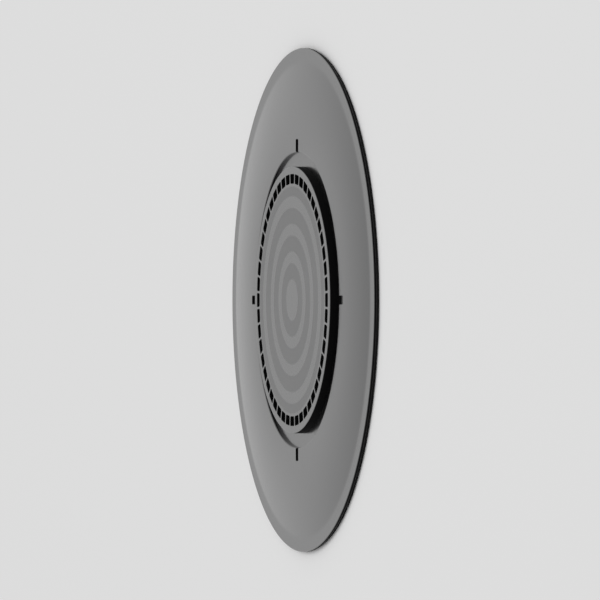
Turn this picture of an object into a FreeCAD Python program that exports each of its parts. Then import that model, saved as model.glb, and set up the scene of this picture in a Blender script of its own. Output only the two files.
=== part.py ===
import FreeCAD, Part
import os

import Sketcher

# Adhesive phone mount plate: a round plastic moulding that sticks to the back of a phone.
# A raised hub with a ring of index slots seats in the holder, a wide domed flange is the
# landing for a suction lip, and a steel disc sealed behind the hub is what a magnet pulls.
# The plate lies on its adhesive face: the origin is that face's centre, +Z the plate's axis.

SIZES = {
    # Moulded plate: heights are measured from its flat back
    "plate_diameter": 62.0,
    "rim_thickness": 0.35,
    "rim_chamfer": 0.08,
    "rim_land": 1.7,
    "flange_rise": 0.69,
    "flange_section_radius": 107.0,
    "hub_diameter": 32.8,
    "hub_skin": 0.6,
    "hub_chamfer": 0.06,
    "moat_width": 1.8,
    "moat_depth": 0.4,
    "moat_chamfer": 0.06,
    # Index slots round the hub's face
    "slot_count": 48,
    "slot_setback": 0.9,
    "slot_length": 1.2,
    "slot_rib": 0.3,
    "slot_depth": 0.9,
    "slot_corner": 0.25,
    # Alignment ticks cut in the flange, open to the moat
    "tick_count": 4,
    "tick_length": 1.45,
    "tick_width": 1.1,
    "tick_depth": 0.3,
    "tick_corner": 0.2,
    # Shallow concentric channels in the hub's face
    "ring_centre_diameter": 5.1,
    "ring_pitch": 3.4,
    "ring_channel": 2.0,
    "ring_border": 0.2,
    "ring_depth": 0.06,
    # Steel armature disc and its pocket in the plate's back
    "armature_thickness": 1.0,
    "armature_chamfer": 0.15,
    "armature_side_gap": 0.1,
    "armature_top_gap": 0.05,
    "pocket_wall": 0.8,
    # Double-coated adhesive tape
    "tape_thickness": 0.35,
    "tape_inset": 0.2,
}

# Radii and heights that follow from the driving sizes, as expressions on the sheet
PLATE_RADIUS = "Sizes.plate_diameter / 2"
LAND_RADIUS = f"{PLATE_RADIUS} - Sizes.rim_land"
HUB_RADIUS = "Sizes.hub_diameter / 2"
MOAT_RADIUS = f"{HUB_RADIUS} + Sizes.moat_width"
SLOT_OUTER = f"{HUB_RADIUS} - Sizes.slot_setback"
SLOT_INNER = f"{SLOT_OUTER} - Sizes.slot_length"
SLOT_WIDTH = f"2 * pi * ({SLOT_INNER}) / Sizes.slot_count - Sizes.slot_rib"  # at its inner end
SLOT_CORNER = f"min(Sizes.slot_corner; ({SLOT_WIDTH}) / 3; Sizes.slot_length / 3)"
TICK_INNER = f"{HUB_RADIUS} + Sizes.moat_width / 2"
TICK_OUTER = f"{MOAT_RADIUS} + Sizes.tick_length"
TICK_CORNER = "min(Sizes.tick_corner; Sizes.tick_width / 3; Sizes.tick_length / 3)"
POCKET_RADIUS = f"{SLOT_INNER} - Sizes.pocket_wall"
ARMATURE_RADIUS = f"{POCKET_RADIUS} - Sizes.armature_side_gap"
TAPE_RADIUS = f"{PLATE_RADIUS} - Sizes.tape_inset"
RING_START = "Sizes.ring_centre_diameter / 2"
RING_REACH = f"{SLOT_INNER} - Sizes.ring_border"
ZERO = "0"
FLANGE_LEVEL = "Sizes.rim_thickness + Sizes.flange_rise"
MOAT_LEVEL = f"{FLANGE_LEVEL} - Sizes.moat_depth"
TICK_LEVEL = f"{FLANGE_LEVEL} - Sizes.tick_depth"
POCKET_LEVEL = "Sizes.armature_thickness + Sizes.armature_top_gap"
HUB_LEVEL = f"{POCKET_LEVEL} + Sizes.hub_skin"
SLOT_LEVEL = f"{HUB_LEVEL} - Sizes.slot_depth"

# Sketcher counts its own axes down from -1, the first of which also holds the origin, and the
# points of a line, arc or circle up from 1
RADIAL_AXIS, PLATE_AXIS = range(-1, -3, -1)
ORIGIN = RADIAL_AXIS
START, END, CENTRE = range(1, 4)

doc = FreeCAD.newDocument("adhesive_phone_mount_plate")
sheet = doc.addObject("Spreadsheet::Sheet", "Sizes")
for row, (alias, size) in enumerate(SIZES.items(), start=1):
    sheet.set(f"A{row}", alias)
    sheet.set(f"B{row}", str(size))
    sheet.setAlias(f"B{row}", alias)
doc.recompute()


def value(expression):
    """The present value of a size expression, in millimetres."""
    return float(sheet.evalExpression(expression))


def point(across, along):
    return FreeCAD.Vector(value(across), value(along), 0)


def new_body(label, lift):
    """A body that stands lift above the adhesive face."""
    body = doc.addObject("PartDesign::Body", label)
    body.Label = label
    body.setExpression("Placement.Base.z", lift)
    return body


def new_sketch(body, name, plane, height=None):
    """A sketch on one of the body's own origin planes, lifted to a height where one is given."""
    origin_plane = next(item for item in body.Origin.OriginFeatures if item.Role == plane)
    sketch = body.newObject("Sketcher::SketchObject", name)
    sketch.AttachmentSupport = (origin_plane, [""])
    sketch.MapMode = "FlatFace"
    if height:
        sketch.setExpression("AttachmentOffset.Base.z", height)
    return sketch


def dimension(sketch, kind, name, expression, *places):
    """A named dimension of a sketch, bound to a size expression."""
    number = sketch.addConstraint(Sketcher.Constraint(kind, *places, value(expression)))
    sketch.renameConstraint(number, name)
    sketch.setExpression(f"Constraints.{name}", expression)


def place_corner(sketch, line, name, across, along):
    """Holds a line's start at two coordinates, on an axis where the coordinate is zero."""
    for kind, tag, expression, axis in (
        ("DistanceX", "across", across, PLATE_AXIS),
        ("DistanceY", "along", along, RADIAL_AXIS),
    ):
        if expression == ZERO:
            sketch.addConstraint(Sketcher.Constraint("PointOnObject", line, START, axis))
        else:
            dimension(sketch, kind, f"{name}_{tag}", expression, ORIGIN, START, line, START)


def draw_outline(sketch, corners, arcs=()):
    """A closed outline through named corners, with an arc of a given radius after some of them."""
    names = list(corners)
    first = sketch.GeometryCount
    for name, following in zip(names, names[1:] + names[:1]):
        start = point(*corners[name])
        end = point(*corners[following])
        if name in arcs:
            radius = value(arcs[name])
            chord = end - start
            rise = radius - (radius**2 - (chord.Length / 2) ** 2) ** 0.5
            outward = FreeCAD.Vector(chord.y, -chord.x, 0).normalize()
            sketch.addGeometry(Part.Arc(start, (start + end) / 2 + outward * rise, end))
        else:
            sketch.addGeometry(Part.LineSegment(start, end))
    last = sketch.GeometryCount - 1
    for number, name in enumerate(names, start=first):
        following = first if number == last else number + 1
        sketch.addConstraint(Sketcher.Constraint("Coincident", number, END, following, START))
        place_corner(sketch, number, name, *corners[name])
        if name in arcs:
            dimension(sketch, "Radius", f"{name}_radius", arcs[name], number)


def feature(body, kind, name, sketch, **bindings):
    """A sketched feature whose properties are bound to size expressions."""
    made = body.newObject(f"PartDesign::{kind}", name)
    made.Profile = sketch
    for prop, expression in bindings.items():
        made.setExpression(prop, expression)
    return made


def turned(body, kind, name, sketch):
    """A full turn of a sketched section about the plate's axis."""
    made = feature(body, kind, name, sketch)
    made.ReferenceAxis = (sketch, ["V_Axis"])
    made.Angle = 360
    return made


def repeated(body, name, original, sketch, count):
    """Copies of a cut spread evenly round the plate's axis."""
    made = body.newObject("PartDesign::PolarPattern", name)
    made.Originals = [original]
    made.Axis = (sketch, ["N_Axis"])
    made.Angle = 360
    made.setExpression("Occurrences", count)
    body.Tip = made
    return made


def check_cut(cut, base):
    """A cut that points away from the solid leaves its volume as it was."""
    doc.recompute()
    if cut.Shape.Volume >= base.Shape.Volume:
        raise RuntimeError(f"{cut.Name} removes nothing")


def slot_half(radius):
    """Half a slot's width at a radius, where the ribs between slots keep one thickness."""
    return f"pi * ({radius}) / Sizes.slot_count - Sizes.slot_rib / 2"


def tick_half(radius):
    """Half a tick's width, the same at every radius."""
    return "Sizes.tick_width / 2"


def window_cut(body, name, level, inner, outer, half, corner):
    """A pocket with cut corners from a level up through the face, between two radii along X."""
    near = f"{inner} + {corner}"
    far = f"{outer} - {corner}"
    sketch = new_sketch(body, f"{name}_outline", "XY_Plane", level)
    draw_outline(
        sketch,
        {
            "low_inner": (near, f"-({half(near)})"),
            "low_outer": (far, f"-({half(far)})"),
            "outer_low": (outer, f"{corner} - ({half(outer)})"),
            "outer_high": (outer, f"{half(outer)} - {corner}"),
            "high_outer": (far, half(far)),
            "high_inner": (near, half(near)),
            "inner_high": (inner, f"{half(inner)} - {corner}"),
            "inner_low": (inner, f"{corner} - ({half(inner)})"),
        },
    )
    made = feature(body, "Pocket", f"{name}_cut", sketch)
    made.Type = "ThroughAll"
    made.Reversed = True
    return sketch, made


# Plate: one injection moulding in black plastic, turned about its axis, with its edges broken
plate = new_body("plate", "Sizes.tape_thickness")
section = new_sketch(plate, "plate_section", "XZ_Plane")
draw_outline(
    section,
    {
        "pocket_centre": (ZERO, POCKET_LEVEL),
        "pocket_corner": (POCKET_RADIUS, POCKET_LEVEL),
        "pocket_mouth": (POCKET_RADIUS, ZERO),
        "rim_foot": (f"{PLATE_RADIUS} - Sizes.rim_chamfer", ZERO),
        "rim_low": (PLATE_RADIUS, "Sizes.rim_chamfer"),
        "rim_high": (PLATE_RADIUS, "Sizes.rim_thickness - Sizes.rim_chamfer"),
        "rim_top": (f"{PLATE_RADIUS} - Sizes.rim_chamfer", "Sizes.rim_thickness"),
        "flange_foot": (LAND_RADIUS, "Sizes.rim_thickness"),
        "flange_edge": (f"{MOAT_RADIUS} + Sizes.moat_chamfer", FLANGE_LEVEL),
        "moat_lip": (MOAT_RADIUS, f"{FLANGE_LEVEL} - Sizes.moat_chamfer"),
        "moat_outer": (MOAT_RADIUS, MOAT_LEVEL),
        "moat_inner": (HUB_RADIUS, MOAT_LEVEL),
        "hub_side": (HUB_RADIUS, f"{HUB_LEVEL} - Sizes.hub_chamfer"),
        "hub_edge": (f"{HUB_RADIUS} - Sizes.hub_chamfer", HUB_LEVEL),
        "hub_centre": (ZERO, HUB_LEVEL),
    },
    arcs={"flange_foot": "Sizes.flange_section_radius"},
)
blank = turned(plate, "Revolution", "plate_blank", section)
doc.recompute()

# Shallow channels leave low concentric rings on the hub's face, from its centre to the slots
ring_section = new_sketch(plate, "ring_section", "XZ_Plane")
channel_floor = f"{HUB_LEVEL} - Sizes.ring_depth"
channel_top = f"{HUB_LEVEL} + Sizes.ring_depth"
channel = 0
inner = RING_START
while value(f"{RING_REACH} - ({inner})") > value("Sizes.ring_channel / 2"):
    outer = f"min({inner} + Sizes.ring_channel; {RING_REACH})"
    draw_outline(
        ring_section,
        {
            f"channel_{channel}_floor": (inner, channel_floor),
            f"channel_{channel}_wall": (outer, channel_floor),
            f"channel_{channel}_lip": (outer, channel_top),
            f"channel_{channel}_top": (inner, channel_top),
        },
    )
    channel += 1
    inner = f"{RING_START} + {channel} * Sizes.ring_pitch"
rings = turned(plate, "Groove", "ring_channels", ring_section)
check_cut(rings, blank)

# Index slots: a ring of small windows with ribs between them, set back from the hub's edge
slot_outline, slot = window_cut(
    plate, "slot", SLOT_LEVEL, SLOT_INNER, SLOT_OUTER, slot_half, SLOT_CORNER
)
check_cut(slot, rings)
slots = repeated(plate, "slot_ring", slot, slot_outline, "Sizes.slot_count")
check_cut(slots, slot)

# Alignment ticks: notches that run out of the moat into the flange
tick_outline, tick = window_cut(
    plate, "tick", TICK_LEVEL, TICK_INNER, TICK_OUTER, tick_half, TICK_CORNER
)
check_cut(tick, slots)
ticks = repeated(plate, "ticks", tick, tick_outline, "Sizes.tick_count")
check_cut(ticks, tick)

# Armature: a steel disc dropped into the pocket in the plate's back, flush with the back
armature = new_body("armature_disc", "Sizes.tape_thickness")
armature_section = new_sketch(armature, "armature_section", "XZ_Plane")
draw_outline(
    armature_section,
    {
        "back_centre": (ZERO, ZERO),
        "back_edge": (ARMATURE_RADIUS, ZERO),
        "side": (ARMATURE_RADIUS, "Sizes.armature_thickness - Sizes.armature_chamfer"),
        "face_edge": (f"{ARMATURE_RADIUS} - Sizes.armature_chamfer", "Sizes.armature_thickness"),
        "face_centre": (ZERO, "Sizes.armature_thickness"),
    },
)
turned(armature, "Revolution", "armature_blank", armature_section)

# Adhesive pad: double-coated tape that covers the back and holds the armature in
tape = new_body("adhesive_pad", ZERO)
tape_outline = new_sketch(tape, "tape_outline", "XY_Plane")
circle = tape_outline.addGeometry(Part.Circle(point(ZERO, ZERO), FreeCAD.Vector(0, 0, 1), value(TAPE_RADIUS)))
tape_outline.addConstraint(Sketcher.Constraint("Coincident", circle, CENTRE, ORIGIN, START))
dimension(tape_outline, "Radius", "tape_radius", TAPE_RADIUS, circle)
feature(tape, "Pad", "tape_sheet", tape_outline, Length="Sizes.tape_thickness")

doc.recompute()
for item in doc.Objects:
    if {"Invalid", "Error"} & set(item.State):
        raise RuntimeError(f"{item.Name} failed: {item.State}")
pieces = [plate, armature, tape]
for piece in pieces:
    if piece.Shape.isNull() or not piece.Shape.isValid():
        raise RuntimeError(f"{piece.Label} has no valid shape")

os.makedirs("parts", exist_ok=True)
for piece in pieces:
    piece.Shape.exportStep(f"parts/{piece.Label}.step")
    box = piece.Shape.BoundBox
    print(piece.Label, len(piece.Shape.Solids), round(piece.Shape.Volume, 2), box)
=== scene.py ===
from math import asin, cos, pi, radians, sin, sqrt

import bmesh
import bpy
from mathutils import Matrix, Vector


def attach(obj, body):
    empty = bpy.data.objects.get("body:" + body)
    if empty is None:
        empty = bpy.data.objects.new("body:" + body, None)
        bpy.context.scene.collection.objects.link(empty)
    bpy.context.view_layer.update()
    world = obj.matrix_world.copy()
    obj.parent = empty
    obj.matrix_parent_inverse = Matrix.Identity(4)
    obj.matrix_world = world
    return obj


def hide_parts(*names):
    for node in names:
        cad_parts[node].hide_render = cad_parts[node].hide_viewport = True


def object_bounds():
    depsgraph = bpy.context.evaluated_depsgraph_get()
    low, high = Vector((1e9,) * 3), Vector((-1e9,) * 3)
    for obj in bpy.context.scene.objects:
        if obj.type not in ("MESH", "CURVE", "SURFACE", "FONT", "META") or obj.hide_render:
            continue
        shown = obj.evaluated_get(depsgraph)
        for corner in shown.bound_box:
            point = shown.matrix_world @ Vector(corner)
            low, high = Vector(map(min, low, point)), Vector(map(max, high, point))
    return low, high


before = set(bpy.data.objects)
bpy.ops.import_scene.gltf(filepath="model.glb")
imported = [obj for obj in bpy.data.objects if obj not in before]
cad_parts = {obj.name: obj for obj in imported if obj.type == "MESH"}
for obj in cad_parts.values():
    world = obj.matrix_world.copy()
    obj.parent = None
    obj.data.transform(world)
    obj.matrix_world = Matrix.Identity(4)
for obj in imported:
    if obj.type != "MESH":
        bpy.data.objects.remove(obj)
cad_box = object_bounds()

# Plate: one injection moulding in near-black satin plastic, a raised hub and a moat in a thin domed flange.
# Its sections are drawn at y = 0, with radius along x, in millimetres from the adhesive face. They are turned
# about the plate's axis, welded to one closed mesh and brought to metres last.
FACETS = 288  # of a full turn, six to each index slot
FACET = 2 * pi / FACETS
GUARD = 0.05  # a narrow strip beside each round keeps the wide faces' shading flat

plate = bmesh.new()

# The hub's face: flat, with low concentric rings left between shallow etched channels.
# It is one stepped line from the middle outwards, turned about the axis.
HUB_TOP = 2.0
RINGS_REACH = 14.1
CHANNEL_COUNT = 4
CHANNEL_START = 2.55
CHANNEL_PITCH = 3.4
CHANNEL_WIDTH = 2.0
CHANNEL_DEPTH = 0.01
CHANNEL_SLOPE = 0.15


def draw(section, *corners):
    """A chain of edges through (radius, height) corners, as its list of vertices."""
    chain = [section.verts.new((radius, 0, height)) for radius, height in corners]
    for ends in zip(chain, chain[1:]):
        section.edges.new(ends)
    return chain


def sweep(part, geometry, angle, steps, **options):
    """Turns geometry about the plate's axis, and gives the vertices where it ends."""
    swept = bmesh.ops.spin(
        part, geom=geometry, cent=(0, 0, 0), axis=(0, 0, 1), angle=angle, steps=steps, **options
    )
    return [end for end in swept["geom_last"] if isinstance(end, bmesh.types.BMVert)]


def turn_full(section):
    """Turns a whole section once round the plate's axis."""
    sweep(section, section.verts[:] + section.edges[:], 2 * pi, FACETS, use_merge=True)


def add(whole, part):
    """Puts a finished part into the whole mesh."""
    carrier = bpy.data.meshes.new("carrier")
    part.to_mesh(carrier)
    part.free()
    whole.from_mesh(carrier)
    bpy.data.meshes.remove(carrier)


face = bmesh.new()
ring_line = [(0, HUB_TOP)]
for channel in range(CHANNEL_COUNT):
    start = CHANNEL_START + channel * CHANNEL_PITCH
    end = min(start + CHANNEL_WIDTH, RINGS_REACH - CHANNEL_SLOPE / 2 - GUARD)
    for step, inside, outside in (
        (start, HUB_TOP, HUB_TOP - CHANNEL_DEPTH),
        (end, HUB_TOP - CHANNEL_DEPTH, HUB_TOP),
    ):
        ring_line += [
            (step - CHANNEL_SLOPE / 2 - GUARD, inside),
            (step - CHANNEL_SLOPE / 2, inside),
            (step + CHANNEL_SLOPE / 2, outside),
            (step + CHANNEL_SLOPE / 2 + GUARD, outside),
        ]
draw(face, *ring_line)
turn_full(face)
add(plate, face)

# Index slots: a ring of small round-cornered blind windows in the hub's face, with thin ribs between them.
# One wedge of the face is modelled with its window, and repeated.
SLOT_COUNT = 48
SLOT_INNER = 14.3
SLOT_OUTER = 15.5
SLOT_RIB = 0.26
SLOT_CORNER = 0.25
SLOT_DEPTH = 0.9
SLOT_LIP = 0.01
SLOT_SEAM = 15.7
SLOT_PITCH = 2 * pi / SLOT_COUNT
SLOT_FACETS = FACETS // SLOT_COUNT
WEDGE_CUTS = 4
ROUND_STEPS = 4


def ease(section, corners, radius, steps=ROUND_STEPS):
    """Rounds some of a section's corners."""
    bmesh.ops.bevel(
        section, geom=corners, offset=radius, affect="VERTICES", segments=steps, profile=0.5, material=-1
    )


def extrude(part, edges):
    """Extrudes edges in place, and gives the new vertices."""
    made = bmesh.ops.extrude_edge_only(part, edges=edges)["geom"]
    return [item for item in made if isinstance(item, bmesh.types.BMVert)]


def repeat(part, count):
    """Copies a part evenly round the plate's axis."""
    whole = part.verts[:] + part.edges[:] + part.faces[:]
    sweep(part, whole, 2 * pi * (count - 1) / count, count - 1, use_duplicate=True)


wedge = bmesh.new()
wedge_corners = []
for radius in (RINGS_REACH, SLOT_SEAM):
    corner = wedge.verts.new(Matrix.Rotation(-SLOT_PITCH / 2, 3, "Z") @ Vector((radius, 0, HUB_TOP)))
    wedge_corners.append((corner, *sweep(wedge, [corner], SLOT_PITCH, SLOT_FACETS)))
wedge_sides = [wedge.edges.new(ends) for ends in zip(*wedge_corners)]
bmesh.ops.subdivide_edges(wedge, edges=wedge_sides, cuts=WEDGE_CUTS)
wedge_outline = set(wedge.edges)
window_corners = [
    wedge.verts.new((radius, side * (radius * SLOT_PITCH - SLOT_RIB) / 2, HUB_TOP))
    for radius, side in (
        (SLOT_INNER, -1),
        (SLOT_OUTER, -1),
        (SLOT_OUTER, 0),
        (SLOT_OUTER, 1),
        (SLOT_INNER, 1),
        (SLOT_INNER, 0),
    )
]
for ends in zip(window_corners, window_corners[1:] + window_corners[:1]):
    wedge.edges.new(ends)
ease(wedge, [corner for corner in window_corners if corner.co.y], SLOT_CORNER)
window = [edge for edge in wedge.edges if edge not in wedge_outline]
bmesh.ops.bridge_loops(wedge, edges=wedge.edges[:])
slot_floor = extrude(wedge, window)
bmesh.ops.translate(wedge, verts=slot_floor, vec=(0, 0, -SLOT_DEPTH))
floor_edges = [edge for edge in wedge.edges if set(edge.verts) <= set(slot_floor)]
bmesh.ops.contextual_create(wedge, geom=floor_edges)
bmesh.ops.bevel(
    wedge, geom=window, offset=SLOT_LIP, affect="EDGES", segments=1, profile=0.5, material=-1
)
repeat(wedge, SLOT_COUNT)
add(plate, wedge)

# The hub's edge and wall, and the moat's floor as far as the foot of its outer wall.
# The edge keeps a small round from the mould, and the two feet are square.
HUB_RADIUS = 16.4
HUB_ROUND = 0.06
MOAT_RADIUS = 18.2
MOAT_FLOOR = 0.99

moat = bmesh.new()
_, _, hub_edge, *_ = draw(
    moat,
    (SLOT_SEAM, HUB_TOP),
    (HUB_RADIUS - HUB_ROUND - GUARD, HUB_TOP),
    (HUB_RADIUS, HUB_TOP),
    (HUB_RADIUS, HUB_TOP - HUB_ROUND - GUARD),
    (HUB_RADIUS, MOAT_FLOOR),
    (MOAT_RADIUS, MOAT_FLOOR),
)
ease(moat, [hub_edge], HUB_ROUND)
turn_full(moat)
add(plate, moat)

# The flange's inner band: the moat's outer wall, its rounded lip and the start of the dome, cut by four
# alignment ticks that run out of the moat. A quarter with one tick is modelled, and repeated.
FLANGE_TOP = 1.39
DOME_START = 18.26
DOME_RADIUS = 84.0
LAND_RADIUS = 29.3
RIM_TOP = 0.7
LIP_ROUND = 0.12
BAND_RADIUS = 21.0
BAND_STEPS = 5
TICK_COUNT = 4
TICK_OUTER = 19.8
TICK_STEPS = 2
TICK_WIDTH = 1.1
TICK_FLOOR = 1.09
TICK_CORNER = 0.2
TICK_CORNER_STEPS = 3
TICK_END_SHARES = (0.35, 0.5, 0.65)
TICK_FACETS = 4
TICK_SECTOR = TICK_FACETS * FACET
WELD = 0.0005
TOUCH = 0.005

chord = Vector((LAND_RADIUS, 0, RIM_TOP)) - Vector((DOME_START, 0, FLANGE_TOP))
dome_drop = sqrt(DOME_RADIUS**2 - chord.length_squared / 4)
dome_centre = (
    Vector((DOME_START, 0, FLANGE_TOP))
    + chord / 2
    + Vector((chord.z, 0, -chord.x)).normalized() * dome_drop
)


def dome_angle(radius):
    """How far the dome has swung from upright at a radius."""
    return asin((radius - dome_centre.x) / DOME_RADIUS)


def dome_point(radius):
    """The dome's (radius, height) at a radius."""
    return radius, dome_centre.z + DOME_RADIUS * cos(dome_angle(radius))


def follow_dome(section, start, reach, steps):
    """Carries a section from a vertex along the dome out to a radius, and gives its last vertex."""
    swing = dome_angle(reach) - dome_angle(start.co.x)
    swept = bmesh.ops.spin(section, geom=[start], cent=dome_centre, axis=(0, 1, 0), angle=swing, steps=steps)
    return next(end for end in swept["geom_last"] if isinstance(end, bmesh.types.BMVert))


def draw_lip(section, reach, steps, place):
    """The moat wall above the tick floor, its rounded lip and the dome out to a radius."""
    known = set(section.verts)
    foot, lip = draw(section, (MOAT_RADIUS, TICK_FLOOR), dome_point(MOAT_RADIUS))
    guard = follow_dome(section, lip, MOAT_RADIUS + LIP_ROUND + GUARD, 1)
    end = follow_dome(section, guard, reach, steps)
    ease(section, [lip], LIP_ROUND)
    bmesh.ops.transform(section, matrix=place, verts=[vert for vert in section.verts if vert not in known])
    return foot, end


def merge(part):
    """Welds the vertices that lie on each other."""
    bmesh.ops.remove_doubles(part, verts=part.verts, dist=WELD)


band = bmesh.new()
outer_ends = [
    draw_lip(band, BAND_RADIUS, BAND_STEPS, Matrix.Rotation(side * TICK_SECTOR / 2, 4, "Z"))[1]
    for side in (-1, 1)
]
sweep(band, outer_ends[:1], TICK_SECTOR, TICK_FACETS)
merge(band)
band_outline = set(band.edges)
tick_rails = [
    draw_lip(band, TICK_OUTER, TICK_STEPS, Matrix.Translation((0, side * TICK_WIDTH / 2, 0)))
    for side in (-1, 1)
]
tick_feet, tick_ends = zip(*tick_rails)
end_line = [
    band.verts.new(tick_ends[0].co.lerp(tick_ends[1].co, share)) for share in TICK_END_SHARES
]
for ends in zip([tick_ends[0], *end_line], [*end_line, tick_ends[1]]):
    band.edges.new(ends)
ease(band, tick_ends, TICK_CORNER, TICK_CORNER_STEPS)
tick_lip = [
    edge for edge in band.edges if edge not in band_outline and not set(edge.verts) & set(tick_feet)
]
bmesh.ops.bridge_loops(band, edges=band.edges[:])
tick_floor = extrude(band, tick_lip)
bmesh.ops.scale(
    band, verts=tick_floor, vec=(1, 1, 0), space=Matrix.Translation((0, 0, -TICK_FLOOR))
)
tick_mouth = band.verts.new((MOAT_RADIUS, 0, TICK_FLOOR))
for foot in tick_feet:
    band.edges.new((foot, tick_mouth))
merge(band)
at_floor = {vert for vert in band.verts if abs(vert.co.z - TICK_FLOOR) < TOUCH}
floor_loop = [
    edge
    for edge in band.edges
    if at_floor.issuperset(edge.verts)
    and len(edge.link_faces) < 2
    and max(abs(vert.co.y) for vert in edge.verts) < TICK_WIDTH / 2 + TOUCH
]
bmesh.ops.contextual_create(band, geom=floor_loop)
wall_top = [
    edge for edge in band.edges if at_floor.issuperset(edge.verts) and len(edge.link_faces) == 1
]
wall_start = band.verts.new(
    Matrix.Rotation(-TICK_SECTOR / 2, 3, "Z") @ Vector((MOAT_RADIUS, 0, MOAT_FLOOR))
)
known_edges = set(band.edges)
sweep(band, [wall_start], TICK_SECTOR, TICK_FACETS)
wall_low = [edge for edge in band.edges if edge not in known_edges]
bmesh.ops.bridge_loops(band, edges=wall_top + wall_low)

plain = bmesh.new()
plain_foot, _ = draw_lip(plain, BAND_RADIUS, BAND_STEPS, Matrix.Identity(4))
plain.edges.new((plain_foot, plain.verts.new((MOAT_RADIUS, 0, MOAT_FLOOR))))
past_tick = Matrix.Rotation(TICK_SECTOR / 2, 3, "Z")
bmesh.ops.rotate(plain, verts=plain.verts, cent=(0, 0, 0), matrix=past_tick)
plain_angle = 2 * pi / TICK_COUNT - TICK_SECTOR
sweep(plain, plain.verts[:] + plain.edges[:], plain_angle, round(plain_angle / FACET))
add(band, plain)
repeat(band, TICK_COUNT)
add(plate, band)

# The flange's outer dome, its thin rim, the flat back and the round pocket behind the hub.
# They are one line from the band's outer edge to the middle of the pocket, turned about the axis.
PLATE_RADIUS = 31.0
PLATE_BACK = 0.35
DOME_STEPS = 16
LAND_EASE = 0.25
LAND_EASE_STEPS = 3
RIM_ROUND = 0.08
BACK_ROUND = 0.1
POCKET_RADIUS = 13.5
POCKET_TOP = 1.40

flange = bmesh.new()
(flange_start,) = draw(flange, dome_point(BAND_RADIUS))
dome_end = follow_dome(flange, flange_start, LAND_RADIUS, DOME_STEPS)
rim_start, rim_edge, back_edge, *_ = draw(
    flange,
    (PLATE_RADIUS - RIM_ROUND - GUARD, RIM_TOP),
    (PLATE_RADIUS, RIM_TOP),
    (PLATE_RADIUS, PLATE_BACK),
    (PLATE_RADIUS - BACK_ROUND - GUARD, PLATE_BACK),
    (POCKET_RADIUS, PLATE_BACK),
    (POCKET_RADIUS, POCKET_TOP),
    (0, POCKET_TOP),
)
flange.edges.new((dome_end, rim_start))
ease(flange, [dome_end], LAND_EASE, LAND_EASE_STEPS)
ease(flange, [rim_edge], RIM_ROUND)
ease(flange, [back_edge], BACK_ROUND)
turn_full(flange)
add(plate, flange)

# The plastic: near black and satin from the mould's fine spark grain, duller in the etched ring channels.
# Painted shade: the moat is darker, and the other side walls and the slots' floors are painted flat black.
METRES = 0.001
SHARP_ANGLE = radians(35)
PLASTIC_DARK = (0.0130, 0.0130, 0.0135, 1)
PLASTIC_LIGHT = (0.0155, 0.0155, 0.0160, 1)
PLASTIC_IOR = 1.62
SATIN = 0.175
SATIN_DRIFT = 0.04
ETCHED = 0.135
FLOW_SCALE = 90
FLOW_DETAIL = 3
GRAIN_SCALE = 6500
GRAIN_DETAIL = 2
GRAIN_STRENGTH = 0.3
GRAIN_DEPTH = 0.000004
# painted shade: a deeper black than the plastic, given to the moat, the side walls and the slots' floors
SHADE_BLACK = (0.0032, 0.0032, 0.0034, 1)
WALL_ROUGHNESS = 0.6
WALL_SPECULAR = 0.05
WALL_SLOPE = 0.5


class Shade:
    """A shader socket that takes arithmetic, and the maker of the nodes round it."""

    def __init__(self, tree, socket=None):
        self.tree = tree
        self.socket = socket

    def node(self, kind, settings=None, inputs=None, output=0):
        """A node with its settings, then its sockets' values or links, as its chosen output."""
        made = self.tree.nodes.new(kind)
        for name, setting in (settings or {}).items():
            setattr(made, name, setting)
        for name, given in (inputs or {}).items():
            if isinstance(given, Shade):
                self.tree.links.new(given.socket, made.inputs[name])
            else:
                made.inputs[name].default_value = given
        return Shade(self.tree, made.outputs[output] if made.outputs else None)

    def math(self, operation, first, second):
        return self.node("ShaderNodeMath", {"operation": operation}, {0: first, 1: second})

    def __add__(self, other):
        return self.math("ADD", self, other)

    def __radd__(self, other):
        return self.math("ADD", other, self)

    def __sub__(self, other):
        return self.math("SUBTRACT", self, other)

    def __rsub__(self, other):
        return self.math("SUBTRACT", other, self)

    def __mul__(self, other):
        return self.math("MULTIPLY", self, other)

    def __rmul__(self, other):
        return self.math("MULTIPLY", other, self)

    def __lt__(self, other):
        return self.math("LESS_THAN", self, other)

    def __gt__(self, other):
        return self.math("GREATER_THAN", self, other)


def new_material(name):
    """An empty node material, with the maker of its nodes."""
    material = bpy.data.materials.new(name)
    material.use_nodes = True
    material.node_tree.nodes.clear()
    return material, Shade(material.node_tree)


def noise(place, scale, detail):
    """A soft mottle over a piece, from 0 to 1."""
    return place.node("ShaderNodeTexNoise", inputs={"Vector": place, "Scale": scale, "Detail": detail})


def mix_colours(share, first, second):
    """One colour turning to another; a Mix node's colours are its sockets 6 and 7, and come out of 2."""
    return share.node("ShaderNodeMix", {"data_type": "RGBA"}, {0: share, 6: first, 7: second}, output=2)


def bump(height, strength, depth):
    """A fine relief, as a normal."""
    return height.node("ShaderNodeBump", inputs={"Height": height, "Strength": strength, "Distance": depth})


def finish(shade, **sockets):
    """A principled finish with some of its sockets given by name."""
    names = {name.replace("_", " "): given for name, given in sockets.items()}
    return shade.node("ShaderNodeBsdfPrincipled", inputs=names)


def coat(shade, look):
    """Puts a finish on the material."""
    shade.node("ShaderNodeOutputMaterial", inputs={"Surface": look})


def finish_piece(part, name, material):
    """Closes a mesh, brings it to metres and puts it in the scene as a smooth-shaded piece."""
    merge(part)
    bmesh.ops.recalc_face_normals(part, faces=part.faces)
    bmesh.ops.scale(part, verts=part.verts, vec=(METRES, METRES, METRES))
    for facet in part.faces:
        facet.smooth = True
    mesh = bpy.data.meshes.new(name)
    part.to_mesh(mesh)
    part.free()
    mesh.set_sharp_from_angle(angle=SHARP_ANGLE)
    mesh.materials.append(material)
    piece = bpy.data.objects.new(name, mesh)
    bpy.context.scene.collection.objects.link(piece)
    return piece


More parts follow.
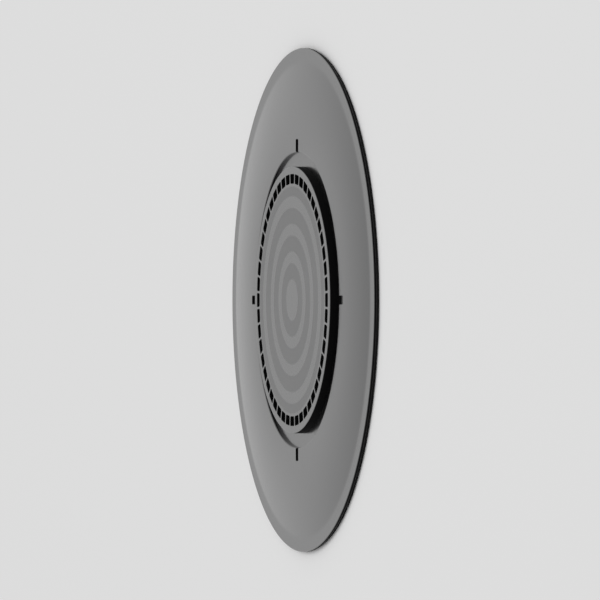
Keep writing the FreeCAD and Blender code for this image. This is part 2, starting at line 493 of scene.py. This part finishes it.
plastic, shade = new_material("black_plastic")
place = shade.node("ShaderNodeTexCoord", output="Object")
height = shade.node("ShaderNodeSeparateXYZ", inputs={0: place}, output="Z")
flat_place = shade.node("ShaderNodeVectorMath", {"operation": "MULTIPLY"}, {0: place, 1: (1, 1, 0)})
across = shade.node("ShaderNodeVectorMath", {"operation": "LENGTH"}, {0: flat_place}, output="Value")
ridge = shade.node(
    "ShaderNodeMapRange",
    {"interpolation_type": "SMOOTHSTEP"},
    {"Value": height, "From Min": (HUB_TOP - CHANNEL_DEPTH) * METRES, "From Max": HUB_TOP * METRES},
)
near_face = height > (HUB_TOP - 2 * CHANNEL_DEPTH) * METRES
etched = (1 - ridge) * (across < RINGS_REACH * METRES) * near_face
# painted shade: the moat's faces take the deeper black as their base colour
in_moat_shade = shade.node("ShaderNodeAttribute", {"attribute_name": "moat_shade_face"}, output="Fac")
flow = noise(place, FLOW_SCALE, FLOW_DETAIL)
grain = bump(noise(place, GRAIN_SCALE, GRAIN_DETAIL), GRAIN_STRENGTH, GRAIN_DEPTH)
satin = finish(
    shade,
    Base_Color=mix_colours(in_moat_shade, mix_colours(flow, PLASTIC_DARK, PLASTIC_LIGHT), SHADE_BLACK),
    Roughness=SATIN + SATIN_DRIFT * flow + ETCHED * etched,
    IOR=PLASTIC_IOR,
    Normal=grain,
)
# painted shade: the side walls and the slots' floors get this flat black finish with little reflection
painted_shade_finish = finish(
    shade,
    Base_Color=SHADE_BLACK,
    Roughness=WALL_ROUGHNESS,
    Specular_IOR_Level=WALL_SPECULAR,
    Normal=grain,
)
in_painted_shade = shade.node("ShaderNodeAttribute", {"attribute_name": "painted_shade_face"}, output="Fac")
coat(shade, shade.node("ShaderNodeMixShader", inputs={0: in_painted_shade, 1: satin, 2: painted_shade_finish}))

merge(plate)
plate.normal_update()
# marks the side walls and the slots' floors for the painted shade finish
painted_shade_face = plate.faces.layers.float.new("painted_shade_face")
# marks the moat's faces for their painted shade
moat_shade_face = plate.faces.layers.float.new("moat_shade_face")
for facet in plate.faces:
    middle = facet.calc_center_median()
    reach = middle.xy.length
    is_slot_floor = reach < SLOT_OUTER and abs(middle.z - (HUB_TOP - SLOT_DEPTH)) < GUARD
    is_moat = HUB_RADIUS < reach < MOAT_RADIUS + GUARD and MOAT_FLOOR - GUARD < middle.z < FLANGE_TOP
    is_wall = abs(facet.normal.z) < WALL_SLOPE and not is_moat
    facet[moat_shade_face] = is_moat
    facet[painted_shade_face] = is_slot_floor or is_wall
moulding = finish_piece(plate, "plate_moulding", plastic)
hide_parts("plate")
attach(moulding, "root")

# Armature: a zinc-plated steel disc, blanked from sheet and dropped into the pocket behind the hub.
# The tape holds it in. It keeps its CAD solid, with a fine rolled grain in the plating.
STEEL_DULL = (0.44, 0.44, 0.45, 1)
STEEL_BRIGHT = (0.60, 0.60, 0.61, 1)
STEEL_ROUGHNESS = 0.28
STEEL_DRIFT = 0.14
ROLLED = (1, 30, 1)
STREAK_SCALE = 220
STREAK_DETAIL = 4
STREAK_STRENGTH = 0.2
STREAK_DEPTH = 0.000004

steel, shade = new_material("steel")
place = shade.node("ShaderNodeTexCoord", output="Object")
rolled = shade.node("ShaderNodeMapping", inputs={"Vector": place, "Scale": ROLLED})
streaks = noise(rolled, STREAK_SCALE, STREAK_DETAIL)
plating = finish(
    shade,
    Base_Color=mix_colours(streaks, STEEL_DULL, STEEL_BRIGHT),
    Metallic=1.0,
    Roughness=STEEL_ROUGHNESS + STEEL_DRIFT * streaks,
    Normal=bump(streaks, STREAK_STRENGTH, STREAK_DEPTH),
)
coat(shade, plating)
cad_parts["armature_disc"].material_slots[0].material = steel

# Tape: a die-cut disc of double-coated black tape over the whole back, set in a little from the rim.
# Its adhesive faces are smooth and a little tacky, and its cut edge is dull and slightly swollen.
TAPE_RADIUS = 30.8
TAPE_EDGE = 0.05
TAPE_DARK = (0.005, 0.005, 0.005, 1)
TAPE_LIGHT = (0.012, 0.012, 0.012, 1)
TAPE_ROUGHNESS = 0.7
TAPE_DRIFT = 0.2
TAPE_SPECULAR = 0.12
FOAM_SCALE = 2600
FOAM_DETAIL = 3
FOAM_STRENGTH = 0.4
FOAM_DEPTH = 0.00002
SMEAR_SCALE = 140
SMEAR_DETAIL = 2

tape = bmesh.new()
_, _, tape_edge, *_ = draw(
    tape,
    (0, PLATE_BACK),
    (TAPE_RADIUS - TAPE_EDGE, PLATE_BACK),
    (TAPE_RADIUS, PLATE_BACK / 2),
    (TAPE_RADIUS - TAPE_EDGE, 0),
    (0, 0),
)
ease(tape, [tape_edge], TAPE_EDGE)
turn_full(tape)

adhesive, shade = new_material("tape")
place = shade.node("ShaderNodeTexCoord", output="Object")
foam = noise(place, FOAM_SCALE, FOAM_DETAIL)
smears = noise(place, SMEAR_SCALE, SMEAR_DETAIL)
acrylic = finish(
    shade,
    Base_Color=mix_colours(foam, TAPE_DARK, TAPE_LIGHT),
    Roughness=TAPE_ROUGHNESS + TAPE_DRIFT * smears,
    Specular_IOR_Level=TAPE_SPECULAR,
    Normal=bump(foam, FOAM_STRENGTH, FOAM_DEPTH),
)
coat(shade, acrylic)
tape_disc = finish_piece(tape, "tape_disc", adhesive)
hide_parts("adhesive_pad")
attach(tape_disc, "root")

# Stage: a wide pale floor under an even white studio, with one large soft lamp overhead.
# The world is full white to the camera and to reflections, and a little dimmer as light.
FLOOR_HALF = 12.0
FLOOR_PALE = (0.757, 0.757, 0.757, 1)
FLOOR_ROUGHNESS = 0.9
WHITE = (1, 1, 1, 1)
SKY_LIGHT = 0.72
LAMP_SIZE = 1.2
LAMP_POWER = 6.0
LAMP_PLACE = Vector((0.1, 0.35, 1.4))

floor_mesh = bmesh.new()
bmesh.ops.create_grid(floor_mesh, x_segments=1, y_segments=1, size=FLOOR_HALF / METRES)
paint, shade = new_material("studio_floor")
coat(shade, finish(shade, Base_Color=FLOOR_PALE, Roughness=FLOOR_ROUGHNESS, Specular_IOR_Level=0.0))
floor = finish_piece(floor_mesh, "studio_floor", paint)

world = bpy.data.worlds.new("studio_white")
world.use_nodes = True
world.node_tree.nodes.clear()
shade = Shade(world.node_tree)
seen = (
    shade.node("ShaderNodeLightPath", output="Is Camera Ray")
    + shade.node("ShaderNodeLightPath", output="Is Glossy Ray")
    + shade.node("ShaderNodeLightPath", output="Is Transmission Ray")
)
sky = shade.node("ShaderNodeBackground", inputs={"Color": WHITE, "Strength": SKY_LIGHT})
white = shade.node("ShaderNodeBackground", inputs={"Color": WHITE, "Strength": 1.0})
backdrop = shade.node("ShaderNodeMixShader", inputs={0: seen, 1: sky, 2: white})
shade.node("ShaderNodeOutputWorld", inputs={"Surface": backdrop})
bpy.context.scene.world = world

lamp_light = bpy.data.lights.new("soft_lamp", "AREA")
lamp_light.shape = "DISK"
lamp_light.size = LAMP_SIZE
lamp_light.energy = LAMP_POWER
lamp = bpy.data.objects.new("soft_lamp", lamp_light)
lamp.location = LAMP_PLACE
lamp.rotation_euler = (-LAMP_PLACE).to_track_quat("-Z", "Y").to_euler()
bpy.context.scene.collection.objects.link(lamp)

# Camera: a long lens low over the plate's face, looking at the middle of the plate.
# It is rolled, so that the plate stands upright in the picture.
VIEW_RISE = radians(16.35)
VIEW_DISTANCE = 2.4
VIEW_HEIGHT = 0.0738  # what the picture takes in at the plate, in metres

camera_data = bpy.data.cameras.new("camera")
camera_data.lens = camera_data.sensor_width * VIEW_DISTANCE / VIEW_HEIGHT
camera = bpy.data.objects.new("camera", camera_data)
camera_right = Vector((sin(VIEW_RISE), 0, -cos(VIEW_RISE)))
camera_up = Vector((0, 1, 0))
camera_back = camera_right.cross(camera_up)
camera_turn = Matrix((camera_right, camera_up, camera_back)).transposed().to_4x4()
low, high = cad_box
camera.matrix_world = Matrix.Translation((low + high) / 2 + camera_back * VIEW_DISTANCE) @ camera_turn
bpy.context.scene.collection.objects.link(camera)
bpy.context.scene.camera = camera
bpy.context.scene.view_settings.view_transform = "Standard"
